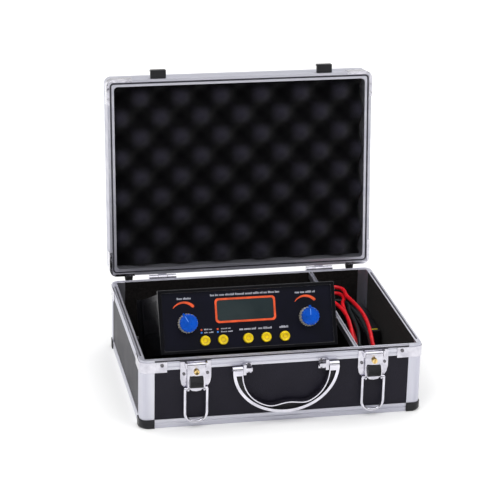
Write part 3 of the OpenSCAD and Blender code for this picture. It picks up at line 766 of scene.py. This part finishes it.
def finish_rails(name, body, lined=False):
    mesh = softened(name, aluminium_x, body, 0.35 * mm).data
    for material in (aluminium_y, felt, groove_shade):
        mesh.materials.append(material)
    for face in mesh.polygons:
        axis = 0 if abs(face.center.x) > side_bar_x else 1
        faces_inwards = face.normal[axis] * face.center[axis] < -0.8 * abs(face.center[axis])
        hidden_by_lining = lined and faces_inwards and face.center.z < lining_top
        face.material_index = 2 if hidden_by_lining else 1 - axis
        if body == "lid":
            from_groove = (from_lid @ face.center).z - lid_groove_z
        else:
            from_groove = face.center.z - base_groove_z
        # Faces in the groove get the painted shade.
        if abs(from_groove) < groove_tolerance:
            face.material_index = 3
    print(name, "faces by finish:", [sum(f.material_index == i for f in mesh.polygons) for i in range(4)])


finish_rails("base_rim_rails", "case", lined=True)
finish_rails("base_bottom_rails", "case")
finish_rails("lid_rails", "lid")

# %% [markdown]
# ## Latches
# A latch has a plated lever, a moulded thumb tab, a brass key barrel and a loop of bright wire. Left and
# right are the same parts on their own bodies.

# %% Latches
for side in ("left", "right"):
    lever = "latch_lever_" + side
    softened(lever, nickel, lever, 0.45 * mm, 3)
    softened("latch_tab_" + side, black_plastic, lever, 0.8 * mm, 3)
    softened("latch_loop_" + side, chrome, "latch_loop_" + side, 0.05 * mm)
    softened("lock_" + side, brass, "lock_" + side, 0.35 * mm)
    print(side, "latch: lever, tab, loop and lock")

# %% [markdown]
# ## Thumb grips
# The moulded tab has a ribbed upper half that a thumb pulls. Four thin bars across it make the ribs.

# %% Thumb grips
first_rib, rib_pitch, rib_height, rib_margin = 3.1 * mm, 1.45 * mm, 0.75 * mm, 0.8 * mm
rib_stands_proud, rib_sinks_in = 0.55 * mm, 1.2 * mm
for side in ("left", "right"):
    lever = "latch_lever_" + side
    low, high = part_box("latch_tab_" + side)
    grip = bmesh.new()
    for rib in range(4):
        z = low.z + first_rib + rib_pitch * rib
        add_box(grip, (low.x + rib_margin, low.y - rib_stands_proud, z),
                (high.x - rib_margin, low.y + rib_sinks_in, z + rib_height))
    make(grip, "thumb_grip_" + side, black_plastic, lever, soft_edge=0.2 * mm)
    print(side, "thumb grip from", round(low.z + first_rib, 4), "m up")

# %% [markdown]
# ## Adapter label
# The small mains adapter carries a narrow yellow strip on its top, near the front edge.

# %% Adapter label
label = bmesh.new()
add_box(label, (adapter_high.x - 13.5 * mm, adapter_low.y + 2.5 * mm, adapter_high.z),
        (adapter_high.x - 3.5 * mm, adapter_low.y + 5.2 * mm, adapter_high.z + 0.15 * mm))
label_piece = make(label, "adapter_label", yellow_label, "case")
print("label faces:", len(label_piece.data.polygons))

# %% [markdown]
# ## Tester body
# The shells, bezel and panel are the CAD shapes with soft edges. The parts inside keep their plain shapes,
# because the shells close over them. The step between bezel and panel is glossy, and a lighter colour on it
# paints a highlight.

# %% Tester body
for name, material, slot, width in (
        ("tester_lower_shell", shell_black, "tester_black", 0.6),
        ("tester_bezel", shell_black, "tester_black", 1.0),
        ("tester_upper_shell", shell_black, "tester_black", 0.6),
        ("tester_panel", panel_film, "tester_panel_ink", 0.2),
        ("lcd_frame", orange_ink, "orange_ink", 0.15), ("lcd_window", display, "display_glass", 0.2),
        ("tester_rear_panel", shell_black, "tester_black", 0.6), ("lead_sockets", red_pvc, "red_pvc", 0.3),
        ("tester_feet", rubber, "black_rubber", 0.6), ("control_pots", screw_steel, "screw_steel", 0.2)):
    softened(name, material, "tester", width * mm)
for name, material in (("lcd_module", display), ("circuit_board", board_green),
                       ("battery_pack", battery_sleeve), ("high_voltage_transformer", winding),
                       ("button_switches", black_plastic)):
    nodes[name].data.materials.clear()
    nodes[name].data.materials.append(material)

# %% [markdown]
# ## Glossy ledge with a painted highlight
# The ledge is part of the bezel, so it isn't a piece of its own. Its faces are the ones that lie inside the
# bezel's outline and look across the panel, and only they get the glossy finish whose lighter colour paints a
# highlight there.

# %% Glossy ledge with a painted highlight
ledge_half_width, ledge_bottom, ledge_top = 98.5 * mm, 1.5 * mm, 70 * mm
looks_forward = 0.7
bezel = bpy.data.objects["tester_bezel_finished"].data
bezel.materials.append(ledge_gloss_painted_highlight)
to_tester = tester_place.inverted()
for face in bezel.polygons:
    middle = to_tester @ face.center
    turned = to_tester.to_3x3() @ face.normal
    inside = abs(middle.x) < ledge_half_width and ledge_bottom < middle.z < ledge_top
    if inside and abs(turned.y) < looks_forward:
        face.material_index = 1
print("ledge faces:", sum(face.material_index == 1 for face in bezel.polygons))

# %% [markdown]
# ## Display cover
# A tinted cover fills the orange frame from edge to edge, so it hides the smaller glass behind it.

# %% Display cover
lcd_low, lcd_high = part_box("lcd_window")
lcd_x = (lcd_low.x + lcd_high.x) / 2 - tester_place.translation.x
lcd_z = 44.2 * mm
cover_width, cover_height, cover_corner, cover_thickness = 64.6 * mm, 23.6 * mm, 3 * mm, 0.3 * mm


def rounded_outline(width, height, radius, steps=6):
    corners = [(1, 1, 0), (-1, 1, 90), (-1, -1, 180), (1, -1, 270)]
    outline = []
    for sx, sy, start in corners:
        for i in range(steps + 1):
            angle = radians(start + 90 * i / steps)
            outline.append((sx * (width / 2 - radius) + radius * cos(angle),
                            sy * (height / 2 - radius) + radius * sin(angle)))
    return outline


cover = bmesh.new()
add_prism(cover, rounded_outline(cover_width, cover_height, cover_corner), cover_thickness,
          tester_place @ Matrix.Translation((lcd_x, 0, lcd_z)) @ panel_face)
make(cover, "display_cover", display, "tester")
print("cover:", cover_width, "by", cover_height, "at", round(lcd_x, 4), lcd_z)

# %% [markdown]
# ## Knobs
# Each knob has a tall ribbed skirt in a pale beige and a thin blue cap with shallow finger flutes. Both are
# turned, and the flutes come from pulling the rim in and out around the turn. A nib and a line of lighter
# blue show the setting.


# %% Knobs
def flute(verts, inverse, place, count, depth, beyond):
    for v in verts:
        local = inverse @ v.co
        radius = Vector((local.x, local.y)).length
        if radius > beyond:
            angle = Vector((local.x, local.y)).angle_signed(Vector((1, 0)))
            pull = 1 - depth * (0.5 + 0.5 * cos(count * angle)) ** 2
            local.x *= pull
            local.y *= pull
            v.co = place @ local


def knob(side, x, turn):
    place = (tester_place @ Matrix.Translation((x, 0, knob_z)) @ panel_face
             @ Matrix.Rotation(radians(turn), 4, "Z"))
    inverse = place.inverted()
    body = "knob_" + side
    skirt = bmesh.new()
    outline = [(0, 1), (10.8, 1), (11.1, 1.5), (10.9, 4), (10.7, 7), (10.5, 9.4), (10.1, 9.9), (0, 9.9)]
    ring = add_turned(skirt, [(r * mm, h * mm) for r, h in outline], place, 144)
    flute(ring, inverse, place, count=24, depth=0.085, beyond=10 * mm)
    make(skirt, body + "_skirt", knob_skirt, body, smooth_below=45)
    cap = bmesh.new()
    outline = [(0, 10), (10.3, 10), (10.2, 13.2), (9.7, 14.2), (9, 14.4), (8.4, 14.1), (8.1, 13.8), (0, 13.8)]
    ring = add_turned(cap, [(r * mm, h * mm) for r, h in outline], place, 144)
    flute(ring, inverse, place, count=18, depth=0.075, beyond=8.8 * mm)
    nib = [(-1.9, 9), (1.9, 9), (0.7, 12.2), (-0.7, 12.2)]
    add_prism(cap, [(a * mm, b * mm) for a, b in nib], 3.6 * mm, place @ Matrix.Translation((0, 0, 10 * mm)))
    make(cap, body + "_cap", knob_blue, body, (body,), smooth_below=45)
    mark = bmesh.new()
    add_box(mark, (-0.35 * mm, 1.5 * mm, 13.7 * mm), (0.35 * mm, 8.2 * mm, 14.15 * mm), place)
    make(mark, body + "_mark", knob_mark, body, soft_edge=0.1 * mm)
    print(body, "turned to", turn, "degrees")


knob("left", -knob_x, 28)
knob("right", knob_x, 0)

# %% [markdown]
# ## Buttons
# A button is a turned cap with a rounded shoulder and a shallow dish for the fingertip. A thin raised ring
# sits in the dish.

# %% Buttons
button_xs, button_z = (-49.6, -29.6, -1.2, 19.3, 40.3), 12
for number, x in enumerate(button_xs, 1):
    place = tester_place @ Matrix.Translation((x * mm, 0, button_z * mm)) @ panel_face
    body = f"button_{number}"
    cap = bmesh.new()
    shoulder, dish = [(5.5, 3.1), (5.3, 3.8), (4.7, 4.2), (4.1, 4.1)], [(3, 3.8), (1.5, 3.6), (0, 3.5)]
    outline = [(0, -2), (5.5, -2)] + shoulder + dish
    add_turned(cap, [(r * mm, h * mm) for r, h in outline], place)
    make(cap, body + "_cap", button_yellow, body, (body,))
    ring = bmesh.new()
    outline = [(1.9, 3.5), (2.7, 3.6), (2.75, 3.92), (2.4, 4), (2, 3.85), (1.9, 3.5)]
    add_turned(ring, [(r * mm, h * mm) for r, h in outline], place, 32)
    make(ring, body + "_ring", button_ring, body)
print("buttons:", len(button_xs))

# %% [markdown]
# ## Print on the panel
# The panel carries an orange swelling arc over each knob, small coloured lamps, and captions. The captions
# are rows of short dashes, so they say nothing. All print is a film a tenth of a millimetre thick.

# %% Panel print
film = 0.12 * mm
letter_gap, word_gap = 0.35, 1.3
random.seed(4)


def on_panel(x, z):
    return tester_place @ Matrix.Translation((x * mm, 0, z * mm)) @ panel_face


def swelling_arc(bm, x, z):
    radius, steps, first_angle, swing, blunt_from = 14.4, 28, 144, 106, 0.93
    outer, inner = [], []
    for i in range(steps + 1):
        t = i / steps
        angle = radians(first_angle - swing * t)
        half = 0.35 + 1.35 * t ** 0.8
        if t > blunt_from:
            half *= (1 - ((t - blunt_from) / 0.07) ** 2 * 0.75) ** 0.5
        outer.append(((radius + half) * cos(angle) * mm, (radius + half) * sin(angle) * mm))
        inner.append(((radius - half) * cos(angle) * mm, (radius - half) * sin(angle) * mm))
    add_prism(bm, outer + inner[::-1], film, on_panel(x, z))


def caption(bm, x0, x1, z, height):
    x, left_in_word = x0, random.randint(3, 8)
    while x < x1 - 0.5:
        width = random.uniform(0.65, 1.25)
        tall = height * random.choice((0.7, 0.7, 1))
        add_box(bm, (0, 0, 0), (width * mm, tall * mm, film), on_panel(x, z))
        left_in_word -= 1
        x += width + (letter_gap if left_in_word else word_gap)
        if not left_in_word:
            left_in_word = random.randint(3, 8)


def lamp(bm, x, z, radius):
    add_turned(bm, [(0, film), (radius * 0.8 * mm, film), (radius * mm, 0), (0, 0)], on_panel(x, z), 20)


print_orange, print_white, print_blue = bmesh.new(), bmesh.new(), bmesh.new()
for x in (-71.5, 66):
    swelling_arc(print_orange, x, 41)
for x in (-53, -34.8):
    lamp(print_orange, x, 24, 1.1)
    lamp(print_blue, x, 20.8, 1.1)
for x0, x1, z, height in ((-41, 38.5, 60.6, 2.4), (-78.5, -63.5, 58.6, 2.4), (55, 78, 58.6, 2.4),
                          (-50, -41.5, 23.6, 1.5), (-50, -40, 20.2, 1.5), (-31, -20, 23.6, 1.5),
                          (-31, -18.6, 20.2, 1.5), (-10.5, 8.5, 21.2, 2.6), (11, 27.5, 21.2, 2.4),
                          (35, 44.5, 21.2, 2.4)):
    caption(print_white, x0, x1, z, height)
make(print_orange, "print_orange", orange_ink, "tester")
make(print_white, "print_white", white_ink, "tester")
make(print_blue, "print_blue", blue_ink, "tester")

# %% [markdown]
# ## Floor and light
# A large white floor gives a clean ground with only a soft shadow under the case. Two soft boxes stand in
# front, a small key on the left and a larger, weaker fill on the right.


# %% Floor and soft boxes
def studio():
    floor_mesh = bpy.data.meshes.new("floor")
    bm = bmesh.new()
    bmesh.ops.create_grid(bm, x_segments=1, y_segments=1, size=30)
    bmesh.ops.translate(bm, verts=bm.verts, vec=(0, 0, cad_bounds[0][2] - 0.0002))
    bm.to_mesh(floor_mesh)
    bm.free()
    floor = bpy.data.objects.new("floor", floor_mesh)
    bpy.context.scene.collection.objects.link(floor)
    paper = finish("white_paper", (0.93, 0.93, 0.93), 0.9, Emission_Color=(1, 1, 1, 1),
                   Emission_Strength=0.05)
    floor_mesh.materials.append(paper)


def area_light(name, place, size, power, target=(0, 0, 0.1)):
    light = bpy.data.objects.new(name, bpy.data.lights.new(name, "AREA"))
    light.data.size, light.data.energy = size, power
    light.location = place
    light.rotation_euler = (Vector(target) - Vector(place)).to_track_quat("-Z", "Y").to_euler()
    bpy.context.scene.collection.objects.link(light)


studio()
area_light("key", (-1.2, -1.6, 2.2), 0.8, 7)
area_light("fill", (1.8, -1.2, 1.4), 1.2, 4)
print("lights:", [light.name for light in bpy.data.lights])

# %% [markdown]
# ## Sky
# Plated parts show what is round them, so the sky is a plain studio: a pale backdrop behind the case, a
# bright soft box overhead, and a dim room behind the camera. The brighter of the two bands wins.

# %% Sky
dim_room = 0.16
backdrop_band, overhead_band = (-0.35, 0.15, 0.7), (0.5, 0.75, 1.8)


def sky():
    world = bpy.data.worlds.new("sky")
    bpy.context.scene.world = world
    world.use_nodes = True
    tree = world.node_tree
    coordinates = tree.nodes.new("ShaderNodeTexCoord")
    axes = tree.nodes.new("ShaderNodeSeparateXYZ")
    backdrop = tree.nodes.new("ShaderNodeMapRange")
    overhead = tree.nodes.new("ShaderNodeMapRange")
    either = tree.nodes.new("ShaderNodeMath")
    either.operation = "MAXIMUM"
    for node, (low, high, bright) in ((backdrop, backdrop_band), (overhead, overhead_band)):
        node.inputs["From Min"].default_value = low
        node.inputs["From Max"].default_value = high
        node.inputs["To Min"].default_value = dim_room
        node.inputs["To Max"].default_value = bright
    tree.links.new(coordinates.outputs["Generated"], axes.inputs["Vector"])
    tree.links.new(axes.outputs["Y"], backdrop.inputs["Value"])
    tree.links.new(axes.outputs["Z"], overhead.inputs["Value"])
    tree.links.new(backdrop.outputs["Result"], either.inputs[0])
    tree.links.new(overhead.outputs["Result"], either.inputs[1])
    tree.links.new(either.outputs["Value"], tree.nodes["Background"].inputs["Strength"])
    tree.nodes["Background"].inputs["Color"].default_value = (1, 1, 1, 1)


sky()
bpy.context.scene.view_settings.view_transform = "Standard"
print("sky strengths:", dim_room, backdrop_band[2], overhead_band[2])

# %% [markdown]
# ## Sizes and finish
# The visual model has to keep the size of the CAD model, so the CAD model's box is printed.

# %% Sizes and finish
print("CAD box:", [[round(x, 4) for x in c] for c in cad_bounds])
